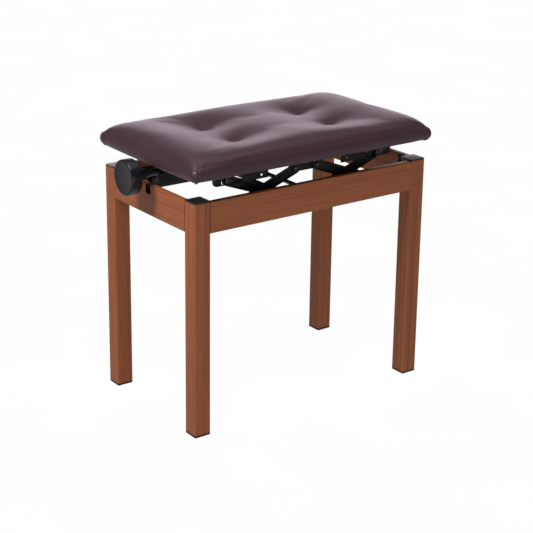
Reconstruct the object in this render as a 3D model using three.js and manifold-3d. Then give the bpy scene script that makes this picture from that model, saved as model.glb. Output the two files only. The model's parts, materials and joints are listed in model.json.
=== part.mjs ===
// Adjustable piano bench: four square tube legs and four rectangular tube rails, a padded seat on
// a double scissor lift at the front and at the back, and a screw spindle turned by a knob at the
// left end. Millimetres, +Z up, +X along the bench, +Y to the back. Everything is placed from the
// middle of the frame, and the finished group is moved so that the origin is on the floor under
// the middle of the whole bench with its knob. The scissors stand at REST_ANGLE.
import * as THREE from "three";
import { mergeVertices } from "three/addons/utils/BufferGeometryUtils.js";
import Module from "manifold-3d";

// Driving dimensions.
const GAP = 0.3; // clearance between pieces that touch
const FRAME_LENGTH = 532;
const FRAME_WIDTH = 306;
const FRAME_HEIGHT = 446; // floor to the top of the leg caps
const LEG_SIZE = 33;
const LEG_WALL = 1.5;
const LEG_CORNER = 2.2;
const CAP_PLATE = 2.5;
const FOOT_PLATE = 3.5;
const PLUG_LENGTH = 12;
const RAIL_HEIGHT = 58;
const RAIL_THICKNESS = 12;
const SHEET = 2.5; // black steel sheet of brackets and channels
const ARM_SHEET = 2.4;

const ARM_LENGTH = 159; // pivot to pivot
const ARM_WIDTH = 20;
const REST_ANGLE = THREE.MathUtils.degToRad(20.5);
const INNER_PIVOT_X = 25; // the two fixed pivots of each scissor lie above one another here
const LOWER_PIVOT_Z = 408.3;
const LIFT_DOWN = 30; // the seat's travel down and up from this height
const LIFT_UP = 46;
const SLOT_PLAY = 2.2; // play of a sliding pin, above and below
const BORE_PLAY = 2.6; // play round the spindle in a crosshead, and round a centre pin

const BRACKET_Y = 119; // mid-plane of the seat brackets; the arms run on either side of it
const BRACKET_HEIGHT = 24.1;
const BRACKET_OUTER_X = 206;
const BRACKET_INNER_X = 85;
const MID_BRACKET_HALF = 38;
const FLANGE_WIDTH = 24;
const BRACKET_HOLE = { x: 99, radius: 3 };

const SEAT_BOTTOM = 481;
const SEAT_TOP = 528;
const SEAT_LENGTH = 552;
const SEAT_WIDTH = 332;
const SEAT_CORNER = 15;
const SEAT_UNDERCUT = 12; // how far the cover draws in below its widest line
const BOARD_LENGTH = 500;
const BOARD_WIDTH = 284;
const BOARD_THICKNESS = 12;
const CLOTH_THICKNESS = 0.6;

const PIN_RADIUS = 4;
const SPINDLE_RADIUS = 6;
const SPINDLE_START = -300;
const SPINDLE_END = 208;
const KNOB_RADIUS = 33;
const KNOB_FACE_X = -318;
const KNOB_BACK_X = -294;
const HUB_END_X = -272;
const HUB_RADIUS = 12;
const CARRIER_START = -241;
const CARRIER_END = -201;

// Places worked out from the driving dimensions.
const halfLength = FRAME_LENGTH / 2;
const halfWidth = FRAME_WIDTH / 2;
const tubeTop = FRAME_HEIGHT - CAP_PLATE;
const armReach = ARM_LENGTH * Math.cos(REST_ANGLE);
const armRise = ARM_LENGTH * Math.sin(REST_ANGLE);
const upperPivotZ = LOWER_PIVOT_Z + armRise;
const outerPivotX = INNER_PIVOT_X + armReach;
const slideAt = (lift) => INNER_PIVOT_X + Math.sqrt(ARM_LENGTH ** 2 - (armRise + lift) ** 2);
const slotStart = slideAt(LIFT_UP) - PIN_RADIUS - SLOT_PLAY;
const slotEnd = slideAt(-LIFT_DOWN) + PIN_RADIUS + SLOT_PLAY;
const bracketTop = SEAT_BOTTOM - GAP;
const innerArmY = BRACKET_Y + SHEET / 2 + 0.7 + ARM_SHEET / 2;
const outerArmY = BRACKET_Y - SHEET / 2 - 0.7 - ARM_SHEET / 2;
const channelWallY = innerArmY + ARM_SHEET / 2 + 0.6;
const railInnerX = halfLength - RAIL_THICKNESS;
const railInnerY = halfWidth - RAIL_THICKNESS;

const wasm = await Module();
wasm.setup();

// Booleans.
function toSolid(geometry) {
  const bare = geometry.clone();
  for (const name of ["normal", "uv"]) bare.deleteAttribute(name);
  const merged = mergeVertices(bare, 1e-4);
  return new wasm.Manifold(
    new wasm.Mesh({
      numProp: 3,
      vertProperties: new Float32Array(merged.attributes.position.array),
      triVerts: new Uint32Array(merged.index.array),
    }),
  );
}

function toGeometry(solid) {
  const mesh = solid.getMesh();
  const geometry = new THREE.BufferGeometry();
  geometry.setAttribute("position", new THREE.BufferAttribute(mesh.vertProperties, 3));
  geometry.setIndex(new THREE.BufferAttribute(mesh.triVerts, 1));
  geometry.computeVertexNormals();
  return geometry;
}

const join = (first, ...rest) =>
  toGeometry(rest.reduce((solid, piece) => solid.add(toSolid(piece)), toSolid(first)));

const cut = (first, ...rest) =>
  toGeometry(rest.reduce((solid, piece) => solid.subtract(toSolid(piece)), toSolid(first)));

// Outlines.
function roundedRectangle(width, height, radius, Path = THREE.Shape) {
  const [w, h, r] = [width / 2, height / 2, radius];
  const path = new Path();
  path.moveTo(w - r, -h);
  path.absarc(w - r, -h + r, r, -Math.PI / 2, 0, false);
  path.absarc(w - r, h - r, r, 0, Math.PI / 2, false);
  path.absarc(-w + r, h - r, r, Math.PI / 2, Math.PI, false);
  path.absarc(-w + r, -h + r, r, Math.PI, 1.5 * Math.PI, false);
  path.closePath();
  return path;
}

function roundHole(x, y, radius) {
  const path = new THREE.Path();
  path.absarc(x, y, radius, 0, 2 * Math.PI, true);
  return path;
}

function slotHole(start, end, y, radius) {
  const path = new THREE.Path();
  path.absarc(end - radius, y, radius, -Math.PI / 2, Math.PI / 2, false);
  path.absarc(start + radius, y, radius, Math.PI / 2, 1.5 * Math.PI, false);
  path.closePath();
  return path;
}

// Solids. An outline is extruded along one axis from `from` to `to`.
const AXES = {
  x: new THREE.Matrix4().makeBasis(
    new THREE.Vector3(0, 1, 0),
    new THREE.Vector3(0, 0, 1),
    new THREE.Vector3(1, 0, 0),
  ),
  // the outline's x and y are the bench's X and Z, so the extrusion runs towards -Y
  y: new THREE.Matrix4().makeBasis(
    new THREE.Vector3(1, 0, 0),
    new THREE.Vector3(0, 0, 1),
    new THREE.Vector3(0, -1, 0),
  ),
  z: new THREE.Matrix4(),
};

function extrude(shape, axis, from, to, curveSegments = 3) {
  const geometry = new THREE.ExtrudeGeometry(shape, {
    depth: to - from,
    bevelEnabled: false,
    curveSegments,
  });
  const start = axis === "y" ? -to : from;
  geometry.translate(0, 0, start);
  return geometry.applyMatrix4(AXES[axis]);
}

function box(x0, x1, y0, y1, z0, z1) {
  const geometry = new THREE.BoxGeometry(x1 - x0, y1 - y0, z1 - z0);
  return geometry.translate((x0 + x1) / 2, (y0 + y1) / 2, (z0 + z1) / 2);
}

// A turned piece: points are [distance along the axis, radius].
function turned(points, axis, segments = 16) {
  const profile = points.map(([along, radius]) => new THREE.Vector2(radius, along));
  const geometry = new THREE.LatheGeometry(profile, segments);
  if (axis === "x") geometry.rotateZ(-Math.PI / 2);
  return geometry;
}

function cylinder(radius, from, to, axis, segments = 16) {
  return turned([[from, 0], [from, radius], [to, radius], [to, 0]], axis, segments);
}

// A copy with its X or Y turned to the other side by a factor of -1. Its faces are turned back to
// point outwards.
function mirrored(geometry, x, y) {
  const copy = geometry.clone().scale(x, y, 1);
  if (x * y < 0) copy.index.array.reverse();
  return copy;
}

// Materials.
const finish = (color, roughness, metalness) => () =>
  new THREE.MeshStandardMaterial({ color, roughness, metalness });
const WOOD_WRAP = finish(0x9a5c3c, 0.5, 0);
const BLACK_PLASTIC = finish(0x1d1d20, 0.45, 0);
const BLACK_STEEL = finish(0x0d0e11, 0.5, 0.4);
const ZINC_STEEL = finish(0x6f7074, 0.4, 0.9);
const LEATHERETTE = finish(0x57424a, 0.42, 0);
const PLYWOOD = finish(0xb98f5f, 0.7, 0);
const BLACK_CLOTH = finish(0x151515, 0.95, 0);

const bench = new THREE.Group();
bench.name = "piano_bench";

function part(name, geometry, material, parent = bench) {
  const mesh = new THREE.Mesh(geometry, material());
  mesh.name = name;
  parent.add(mesh);
  return mesh;
}

const SIDES = [
  ["front", -1],
  ["back", 1],
];
const ENDS = [
  ["left", -1],
  ["right", 1],
];
const CORNERS = SIDES.flatMap(([side, sy]) => ENDS.map(([end, sx]) => [`${side}_${end}`, sx, sy]));

// Legs with their plastic caps and feet.
function legTube() {
  const shape = roundedRectangle(LEG_SIZE, LEG_SIZE, LEG_CORNER);
  const inside = LEG_SIZE - 2 * LEG_WALL;
  shape.holes.push(roundedRectangle(inside, inside, LEG_CORNER - LEG_WALL, THREE.Path));
  return extrude(shape, "z", FOOT_PLATE + GAP, tubeTop - GAP);
}

// A square plate with a plug that fills the tube's end; the plug points along +Z.
function plugCap(plateThickness) {
  const inside = LEG_SIZE - 2 * LEG_WALL - 2 * GAP;
  const overlap = 0.5;
  const plate = extrude(roundedRectangle(LEG_SIZE, LEG_SIZE, LEG_CORNER), "z", 0, plateThickness);
  const from = plateThickness - overlap;
  const half = inside / 2;
  return join(plate, box(-half, half, -half, half, from, plateThickness + PLUG_LENGTH));
}

for (const [corner, sx, sy] of CORNERS) {
  const group = new THREE.Group();
  group.position.set(sx * (halfLength - LEG_SIZE / 2), sy * (halfWidth - LEG_SIZE / 2), 0);
  bench.add(group);
  part(`leg_${corner}`, legTube(), WOOD_WRAP, group);
  part(`foot_cap_${corner}`, plugCap(FOOT_PLATE), BLACK_PLASTIC, group);
  const cap = part(`leg_cap_${corner}`, plugCap(CAP_PLATE), BLACK_PLASTIC, group);
  cap.rotation.x = Math.PI;
  cap.position.z = FRAME_HEIGHT;
}

// Rails between the legs. The left one is notched for the spindle at the seat's lowest position.
function railTube(axis, length) {
  const shape = roundedRectangle(RAIL_THICKNESS, RAIL_HEIGHT, LEG_CORNER);
  const inner = [RAIL_THICKNESS - 2 * LEG_WALL, RAIL_HEIGHT - 2 * LEG_WALL];
  shape.holes.push(roundedRectangle(...inner, LEG_CORNER - LEG_WALL, THREE.Path));
  const geometry = extrude(shape, "x", -length / 2, length / 2);
  geometry.translate(0, 0, tubeTop - RAIL_HEIGHT / 2);
  return axis === "y" ? geometry.rotateZ(Math.PI / 2) : geometry;
}

const longRail = FRAME_LENGTH - 2 * LEG_SIZE - 2 * GAP;
const shortRail = FRAME_WIDTH - 2 * LEG_SIZE - 2 * GAP;
for (const [side, sy] of SIDES) {
  const rail = part(`rail_${side}`, railTube("x", longRail), WOOD_WRAP);
  rail.position.y = sy * (halfWidth - RAIL_THICKNESS / 2);
}
const NOTCH_HALF = 9;
const notchBottom = upperPivotZ - LIFT_DOWN - SPINDLE_RADIUS - 2.5;
const notch = box(-RAIL_THICKNESS, RAIL_THICKNESS, -NOTCH_HALF, NOTCH_HALF, notchBottom, tubeTop + 5);
for (const [end, sx] of ENDS) {
  const tube = railTube("y", shortRail);
  const rail = part(`rail_${end}`, sx < 0 ? cut(tube, notch) : tube, WOOD_WRAP);
  rail.position.x = sx * (halfLength - RAIL_THICKNESS / 2);
}

// Black angle plates that hold each short rail to its leg.
const CORNER_PLATE = { bottom: 394, top: 441, reach: 27 };
for (const [corner, sx, sy] of CORNERS) {
  const legFace = halfWidth - LEG_SIZE - GAP;
  const railFace = railInnerX - GAP;
  const legEdge = halfLength - LEG_SIZE - 1;
  const { bottom, top, reach } = CORNER_PLATE;
  const geometry = join(
    box(railFace - SHEET, railFace, legFace - reach, legFace, bottom, top),
    box(legEdge, railFace, legFace - SHEET, legFace, bottom, top),
  );
  part(`corner_plate_${corner}`, mirrored(geometry, sx, sy), BLACK_STEEL);
}

// Lower channels, open at the top, bolted to the long rails. The inner wall carries the fixed
// pivots and the slots in which the scissors' lower ends slide.
const CHANNEL = { bottom: 389, inner: 423, outer: 430, half: 200 };
function channel() {
  const { bottom, inner, outer, half } = CHANNEL;
  const railSide = railInnerY - GAP;
  const wall = new THREE.Shape();
  wall.moveTo(-half, bottom);
  wall.lineTo(half, bottom);
  wall.lineTo(half, inner - 8);
  wall.quadraticCurveTo(half, inner, half - 8, inner);
  wall.lineTo(-half + 8, inner);
  wall.quadraticCurveTo(-half, inner, -half, inner - 8);
  wall.closePath();
  for (const sx of [-1, 1]) {
    const ends = [sx * slotStart, sx * slotEnd].sort((a, b) => a - b);
    wall.holes.push(slotHole(...ends, LOWER_PIVOT_Z, PIN_RADIUS + SLOT_PLAY));
    wall.holes.push(roundHole(sx * INNER_PIVOT_X, LOWER_PIVOT_Z, PIN_RADIUS + GAP));
  }
  return join(
    extrude(wall, "y", channelWallY, channelWallY + SHEET, 6),
    box(-half, half, channelWallY + 1, railSide, bottom, bottom + SHEET),
    box(-half, half, railSide - SHEET, railSide, bottom + 1, outer),
  );
}
for (const [side, sy] of SIDES) {
  const piece = part(`base_channel_${side}`, channel(), BLACK_STEEL);
  piece.rotation.z = sy > 0 ? 0 : Math.PI;
}

// Scissor arms. One arm of each pair turns on the channel and slides at the seat; the other turns
// on the seat and slides in the channel. Each lies along +X from its fixed pivot.
function arm(centreHole) {
  const r = ARM_WIDTH / 2;
  const shape = new THREE.Shape();
  shape.absarc(ARM_LENGTH, 0, r, -Math.PI / 2, Math.PI / 2, false);
  shape.absarc(0, 0, r, Math.PI / 2, 1.5 * Math.PI, false);
  shape.closePath();
  shape.holes.push(roundHole(0, 0, PIN_RADIUS + GAP));
  shape.holes.push(roundHole(ARM_LENGTH, 0, PIN_RADIUS + GAP));
  shape.holes.push(roundHole(ARM_LENGTH / 2, 0, centreHole));
  return extrude(shape, "y", -ARM_SHEET / 2, ARM_SHEET / 2, 8);
}

const CENTRE_PIN_RADIUS = 3;
for (const [corner, sx, sy] of CORNERS) {
  // a turn about +Y takes +X towards -Z
  const outward = sx > 0 ? 0 : Math.PI;
  const outer = part(`outer_arm_${corner}`, arm(CENTRE_PIN_RADIUS + BORE_PLAY), BLACK_STEEL);
  outer.position.set(sx * INNER_PIVOT_X, sy * outerArmY, LOWER_PIVOT_Z);
  outer.rotation.y = outward - sx * REST_ANGLE;
  const inner = part(`inner_arm_${corner}`, arm(CENTRE_PIN_RADIUS + GAP), BLACK_STEEL);
  inner.position.set(sx * INNER_PIVOT_X, sy * innerArmY, upperPivotZ);
  inner.rotation.y = outward + sx * REST_ANGLE;
}

// Pins, each turned about Y. The profiles are drawn for the back side and point outwards.
const WASHER = 2;
const centrePin = [
  [outerArmY - ARM_SHEET / 2 - GAP - WASHER, 0],
  [outerArmY - ARM_SHEET / 2 - GAP - WASHER, 8],
  [outerArmY - ARM_SHEET / 2 - GAP, 8],
  [outerArmY - ARM_SHEET / 2 - GAP, CENTRE_PIN_RADIUS],
  [innerArmY + ARM_SHEET / 2, CENTRE_PIN_RADIUS],
  [innerArmY + ARM_SHEET / 2, 0],
];
const guidePin = [
  [innerArmY - ARM_SHEET / 2 - GAP - WASHER, 0],
  [innerArmY - ARM_SHEET / 2 - GAP - WASHER, 6.5],
  [innerArmY - ARM_SHEET / 2 - GAP, 6.5],
  [innerArmY - ARM_SHEET / 2 - GAP, PIN_RADIUS],
  [channelWallY + SHEET + 0.6, PIN_RADIUS],
  [channelWallY + SHEET + 0.6, 7],
  [channelWallY + SHEET + 7, 7],
  [channelWallY + SHEET + 7, 0],
];
const seatPin = [
  [BRACKET_Y - SHEET / 2 - GAP - WASHER, 0],
  [BRACKET_Y - SHEET / 2 - GAP - WASHER, 6.5],
  [BRACKET_Y - SHEET / 2 - GAP, 6.5],
  [BRACKET_Y - SHEET / 2 - GAP, PIN_RADIUS],
  [innerArmY + ARM_SHEET / 2 + GAP, PIN_RADIUS],
  [innerArmY + ARM_SHEET / 2 + GAP, 6.5],
  [innerArmY + ARM_SHEET / 2 + GAP + 3.5, 6.5],
  [innerArmY + ARM_SHEET / 2 + GAP + 3.5, 0],
];
for (const [corner, sx, sy] of CORNERS) {
  const places = [
    ["centre_pin", centrePin, INNER_PIVOT_X + armReach / 2, LOWER_PIVOT_Z + armRise / 2],
    ["guide_pin", guidePin, outerPivotX, LOWER_PIVOT_Z],
    ["seat_pin", seatPin, INNER_PIVOT_X, upperPivotZ],
  ];
  for (const [name, profile, x, z] of places) {
    const pin = part(`${name}_${corner}`, turned(profile, "y", 12), ZINC_STEEL);
    pin.position.set(sx * x, 0, z);
    pin.rotation.z = sy > 0 ? 0 : Math.PI;
  }
}

// Lower pivot rods tie the front and back outer arms together.
const rodEnd = channelWallY + SHEET + 4;
for (const [end, sx] of ENDS) {
  const rod = part(`pivot_rod_${end}`, cylinder(PIN_RADIUS, -rodEnd, rodEnd, "y"), ZINC_STEEL);
  rod.position.set(sx * INNER_PIVOT_X, 0, LOWER_PIVOT_Z);
}

// Crossheads: a rod across the bench with the threaded block that the spindle draws along.
const BLOCK = { length: 26, width: 24, height: 26 };
const headStart = BRACKET_Y + SHEET / 2 + GAP;
for (const [end, sx] of ENDS) {
  const { length, width, height } = BLOCK;
  const block = box(-length / 2, length / 2, -width / 2, width / 2, -height / 2, height / 2);
  const rod = turned(
    [
      [-headStart - WASHER, 0],
      [-headStart - WASHER, 7],
      [-headStart, 7],
      [-headStart, PIN_RADIUS],
      [headStart, PIN_RADIUS],
      [headStart, 7],
      [headStart + WASHER, 7],
      [headStart + WASHER, 0],
    ],
    "y",
  );
  const bore = cylinder(SPINDLE_RADIUS + BORE_PLAY, -length, length, "x");
  const crosshead = part(`crosshead_${end}`, cut(join(block, rod), bore), ZINC_STEEL);
  crosshead.position.set(sx * outerPivotX, 0, upperPivotZ);
}

// Seat brackets: steel angles under the board, the outer ones slotted for the crosshead rods.
function seatBracket(start, end, holes, roundedEnd) {
  const bottom = bracketTop - BRACKET_HEIGHT;
  const r = 9;
  const leg = new THREE.Shape();
  leg.moveTo(start, bracketTop);
  leg.lineTo(start, bottom);
  leg.lineTo(end - (roundedEnd ? r : 0), bottom);
  if (roundedEnd) leg.absarc(end - r, bottom + r, r, -Math.PI / 2, 0, false);
  leg.lineTo(end, bracketTop);
  leg.closePath();
  leg.holes.push(...holes);
  const flangeEdge = BRACKET_Y - SHEET / 2 - FLANGE_WIDTH;
  return join(
    extrude(leg, "y", BRACKET_Y - SHEET / 2, BRACKET_Y + SHEET / 2, 6),
    box(start, end, flangeEdge, BRACKET_Y, bracketTop - SHEET, bracketTop),
  );
}
const endHoles = () => [
  slotHole(slotStart, slotEnd, upperPivotZ, PIN_RADIUS + SLOT_PLAY),
  roundHole(BRACKET_HOLE.x, upperPivotZ, BRACKET_HOLE.radius),
];
const midHoles = () =>
  [-1, 1].map((sx) => roundHole(sx * INNER_PIVOT_X, upperPivotZ, PIN_RADIUS + GAP));

for (const [corner, sx, sy] of CORNERS) {
  const bracket = seatBracket(BRACKET_INNER_X, BRACKET_OUTER_X, endHoles(), true);
  part(`seat_bracket_${corner}`, mirrored(bracket, sx, sy), BLACK_STEEL);
}
for (const [side, sy] of SIDES) {
  const bracket = seatBracket(-MID_BRACKET_HALF, MID_BRACKET_HALF, midHoles(), false);
  part(`middle_bracket_${side}`, mirrored(bracket, 1, sy), BLACK_STEEL);
}

// Seat: board, cloth under it and the cushion whose cover wraps round the board's edge.
const clothTop = SEAT_BOTTOM + CLOTH_THICKNESS;
const boardBottom = clothTop + GAP;
const boardTop = boardBottom + BOARD_THICKNESS;
const BOARD_CORNER = 14;
const boardOutline = () => roundedRectangle(BOARD_LENGTH, BOARD_WIDTH, BOARD_CORNER);
part("seat_board", extrude(boardOutline(), "z", boardBottom, boardTop), PLYWOOD);
part("under_cloth", extrude(boardOutline(), "z", SEAT_BOTTOM, clothTop), BLACK_CLOTH);

// Rounded rectangles stacked into one closed skin: each ring is [z, length, width, corner].
function stackedSkin(rings, cornerSteps) {
  const rows = rings.map(([z, length, width, radius]) => {
    const row = [];
    for (let q = 0; q < 4; q += 1) {
      const cx = (q === 0 || q === 3 ? 1 : -1) * (length / 2 - radius);
      const cy = (q < 2 ? 1 : -1) * (width / 2 - radius);
      for (let i = 0; i <= cornerSteps; i += 1) {
        const angle = ((q + i / cornerSteps) * Math.PI) / 2;
        row.push([cx + radius * Math.cos(angle), cy + radius * Math.sin(angle), z]);
      }
    }
    return row;
  });
  const count = rows[0].length;
  const points = rows.flat();
  const bottom = points.push([0, 0, rings[0][0]]) - 1;
  const top = points.push([0, 0, rings[rings.length - 1][0]]) - 1;
  const faces = [];
  for (let j = 0; j < count; j += 1) {
    const k = (j + 1) % count;
    faces.push(bottom, k, j);
    for (let i = 0; i + 1 < rows.length; i += 1) {
      const [a, b] = [i * count + j, i * count + k];
      faces.push(a, b, b + count, a, b + count, a + count);
    }
    const last = (rows.length - 1) * count;
    faces.push(top, last + j, last + k);
  }
  const geometry = new THREE.BufferGeometry();
  geometry.setAttribute("position", new THREE.Float32BufferAttribute(points.flat(), 3));
  geometry.setIndex(faces);
  return geometry;
}

const seatHeight = SEAT_TOP - SEAT_BOTTOM;
const EDGE_ROLL = 14; // how far the top edge rolls in before the flat of the crown
function cushionRings() {
  const steps = [0, 0.12, 0.35, 0.6, 0.8, 0.93, 1];
  return steps.map((t) => {
    const low = Math.max(0, 1 - t / 0.35) ** 2 * SEAT_UNDERCUT;
    const high = Math.max(0, (t - 0.35) / 0.65);
    const roll = EDGE_ROLL * (1 - Math.sqrt(Math.max(0, 1 - high ** 2)));
    const inset = 2 * (low + roll);
    return [SEAT_BOTTOM + t * seatHeight, SEAT_LENGTH - inset, SEAT_WIDTH - inset, SEAT_CORNER];
  });
}
const pocketOutline = roundedRectangle(BOARD_LENGTH + 2 * GAP, BOARD_WIDTH + 2 * GAP, BOARD_CORNER);
const pocket = extrude(pocketOutline, "z", SEAT_BOTTOM - 5, boardTop + GAP);
part("cushion", cut(stackedSkin(cushionRings(), 6), pocket), LEATHERETTE);

// Spindle bearings under the board: a box-shaped carrier at the knob end, a plate at the other.
const BEARING_DEPTH = 29;
const bearingBottom = bracketTop - BEARING_DEPTH;
const bearingBore = cylinder(SPINDLE_RADIUS + GAP, -400, 400, "x").translate(0, 0, upperPivotZ);
const CARRIER_HALF = 19.5;
const carrier = cut(
  box(CARRIER_START, CARRIER_END, -CARRIER_HALF, CARRIER_HALF, bearingBottom, bracketTop),
  box(
    CARRIER_START + SHEET,
    CARRIER_END - SHEET,
    -CARRIER_HALF + SHEET,
    CARRIER_HALF - SHEET,
    bearingBottom - 5,
    bracketTop - SHEET,
  ),
  bearingBore,
);
part("spindle_carrier", carrier, BLACK_STEEL);
const END_PLATE_X = 202;
const endBearing = cut(
  join(
    box(END_PLATE_X, END_PLATE_X + SHEET, -16, 16, bearingBottom, bracketTop),
    box(END_PLATE_X, END_PLATE_X + 22, -16, 16, bracketTop - SHEET, bracketTop),
  ),
  bearingBore,
);
part("end_bearing", endBearing, BLACK_STEEL);

// Spindle, its collar and the knob, turned about X on one axis.
const drive = new THREE.Group();
drive.position.z = upperPivotZ;
bench.add(drive);
part("spindle", cylinder(SPINDLE_RADIUS, SPINDLE_START, SPINDLE_END, "x", 24), ZINC_STEEL, drive);

const bore = SPINDLE_RADIUS + GAP;
const collarStart = CARRIER_START + SHEET + GAP;
const collarEnd = CARRIER_END - SHEET - GAP;
const collarProfile = [
  [collarStart, bore],
  [collarStart, 10],
  [collarEnd, 10],
  [collarEnd, bore],
  [collarStart, bore],
];
part("thrust_collar", turned(collarProfile, "x"), ZINC_STEEL, drive);

const RIM = 4;
const DISH = 2;
const knobProfile = [
  [KNOB_FACE_X + DISH, 0],
  [KNOB_FACE_X + DISH, KNOB_RADIUS - 9],
  [KNOB_FACE_X, KNOB_RADIUS - 5],
  [KNOB_FACE_X + 0.6, KNOB_RADIUS - 2],
  [KNOB_FACE_X + RIM, KNOB_RADIUS],
  [KNOB_BACK_X - RIM, KNOB_RADIUS],
  [KNOB_BACK_X - 1, KNOB_RADIUS - 1.5],
  [KNOB_BACK_X, KNOB_RADIUS - 4],
  [KNOB_BACK_X, HUB_RADIUS],
  [HUB_END_X, HUB_RADIUS - 2],
  [HUB_END_X, bore],
  [SPINDLE_START - GAP, bore],
  [SPINDLE_START - GAP, 0],
];
part("knob", turned(knobProfile, "x", 32), BLACK_PLASTIC, drive);

bench.position.x = -(KNOB_FACE_X + SEAT_LENGTH / 2) / 2;
const root = new THREE.Group();
root.add(bench);

export default root;
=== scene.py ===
"""Adjustable piano bench: a tufted leatherette seat on a scissor lift in a wood-wrapped frame.

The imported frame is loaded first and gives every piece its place. Each operator builds one kind of
piece, and main() calls them in order.
"""

import json
import math
import random

import bmesh
import bpy
import numpy as np
from mathutils import Matrix, Vector


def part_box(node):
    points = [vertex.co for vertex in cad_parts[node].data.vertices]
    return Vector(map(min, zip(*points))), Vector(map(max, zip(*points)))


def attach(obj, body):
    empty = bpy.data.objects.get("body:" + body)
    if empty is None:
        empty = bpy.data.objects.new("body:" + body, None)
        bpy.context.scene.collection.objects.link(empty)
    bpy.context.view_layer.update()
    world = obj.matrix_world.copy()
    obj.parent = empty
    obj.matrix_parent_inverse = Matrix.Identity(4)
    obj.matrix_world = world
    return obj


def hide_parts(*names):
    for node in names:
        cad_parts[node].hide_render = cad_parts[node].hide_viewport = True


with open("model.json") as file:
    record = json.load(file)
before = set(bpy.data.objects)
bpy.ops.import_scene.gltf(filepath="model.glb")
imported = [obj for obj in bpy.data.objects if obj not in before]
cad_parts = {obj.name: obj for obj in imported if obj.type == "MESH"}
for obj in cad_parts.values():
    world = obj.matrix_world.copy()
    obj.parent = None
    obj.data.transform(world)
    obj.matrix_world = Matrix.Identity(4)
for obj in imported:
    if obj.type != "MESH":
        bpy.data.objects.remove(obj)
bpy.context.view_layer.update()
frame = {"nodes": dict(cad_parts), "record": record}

bl_info = {
    "name": "Piano Bench",
    "version": (1, 0, 0),
    "blender": (4, 5, 0),
    "location": "3D View > Sidebar > Piano Bench",
    "description": "Builds an adjustable piano bench around its packed frame",
    "category": "Add Mesh",
}

MM = 0.001
CORNERS = [f"{side}_{end}" for side in ("front", "back") for end in ("left", "right")]
BODY_OF = {
    node: body
    for body, nodes in frame["record"]["behaviour"]["bodies"].items()
    for node in nodes
}
FRAME_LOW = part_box("foot_cap_front_left")[0]
FRAME_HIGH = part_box("leg_cap_back_right")[1]
CENTRE_X = (FRAME_LOW.x + FRAME_HIGH.x) / 2
CUSHION_LOW, CUSHION_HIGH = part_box("cushion")
BOARD_LOW, BOARD_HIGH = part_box("seat_board")
KNOB_LOW, KNOB_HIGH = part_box("knob")
SPINDLE_LOW, SPINDLE_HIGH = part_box("spindle")


# ---------------------------------------------------------------- settings


def length(name, description, default, **more):
    """A size property, given in millimetres and kept in metres."""
    return bpy.props.FloatProperty(
        name=name, description=description, default=default * MM, unit="LENGTH", precision=5, **more
    )


def colour(name, description, default):
    return bpy.props.FloatVectorProperty(
        name=name, description=description, default=default, subtype="COLOR", size=3, min=0, max=1
    )


class WoodFrameSettings(bpy.types.PropertyGroup):
    corner_radius: length("Corner radius", "Rounding of the tubes' long edges", 2.2)
    wall: length("Wall", "Wall of the tubes", 1.5)
    wood_pale: colour("Pale grain", "Lightest tone of the wrap", (0.465, 0.150, 0.055))
    wood_middle: colour("Middle grain", "Main tone of the wrap", (0.39, 0.115, 0.038))
    wood_dark: colour("Dark grain", "Tone of the dark streaks", (0.215, 0.06, 0.022))


class LiftSettings(bpy.types.PropertyGroup):
    edge_rounding: length("Edge rounding", "Radius of the pressed and cut edges", 0.45)
    paint: colour("Paint", "Black paint of the steel", (0.0035, 0.0036, 0.0045))
    bare_steel: colour("Blackened steel", "Finish of rods and pins", (0.035, 0.035, 0.04))
    thread_pitch: length("Thread pitch", "Advance of the spindle's thread in one turn", 2.4)
    thread_depth: length("Thread depth", "Height of the thread over its root", 0.75)


class KnobSettings(bpy.types.PropertyGroup):
    dish: length("Dish", "Depth of the hollow in the knob's face", 2.0)
    rim: length("Rim", "Rounding between the face and the side", 3.2)
    plastic: colour("Plastic", "Moulded plastic of the knob", (0.0062, 0.0064, 0.0095))
    cap_plastic: colour("Cap plastic", "Plastic of the leg caps and feet", (0.014, 0.0125, 0.0145))


class CushionSettings(bpy.types.PropertyGroup):
    tuft_x: length("Tuft spacing, half", "Tufts to the middle, along the seat", 112)
    tuft_y: length("Tuft row, half", "Tufts to the middle, across the seat", 50)
    tuft_depth: length("Tuft depth", "How far a tuft is drawn into the foam", 20)
    tuft_reach: length("Tuft reach", "How far round a tuft the cover is drawn in", 34)
    bulge_height: length("Bulge height", "Height of the widest line over the seat's underside", 15)
    end_roll: length("End roll", "How far from the ends the top falls off", 11)
    side_roll: length("Side roll", "How far from the long sides the top falls off", 16)
    pressure: bpy.props.FloatProperty(
        name="Foam pressure", description="Push of the foam on the cover", default=4.0, min=0
    )
    most_swell: length("Most swell", "Limit on how far the foam moves the cover", 9)
    settle_frames: bpy.props.IntProperty(
        name="Settle frames", description="Frames of simulation", default=20, min=2
    )
    evening: bpy.props.IntProperty(
        name="Evening", description="Passes that even out the smallest folds", default=9, min=0
    )
    leather: colour("Leatherette", "Main tone of the cover", (0.056, 0.029, 0.039))
    # This colour is painted shade: it darkens the sunken valleys between the grain's pebbles.
    leather_valley_shade: colour("Leatherette, deep", "Tone in the pores", (0.35, 0.3, 0.32))


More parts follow.
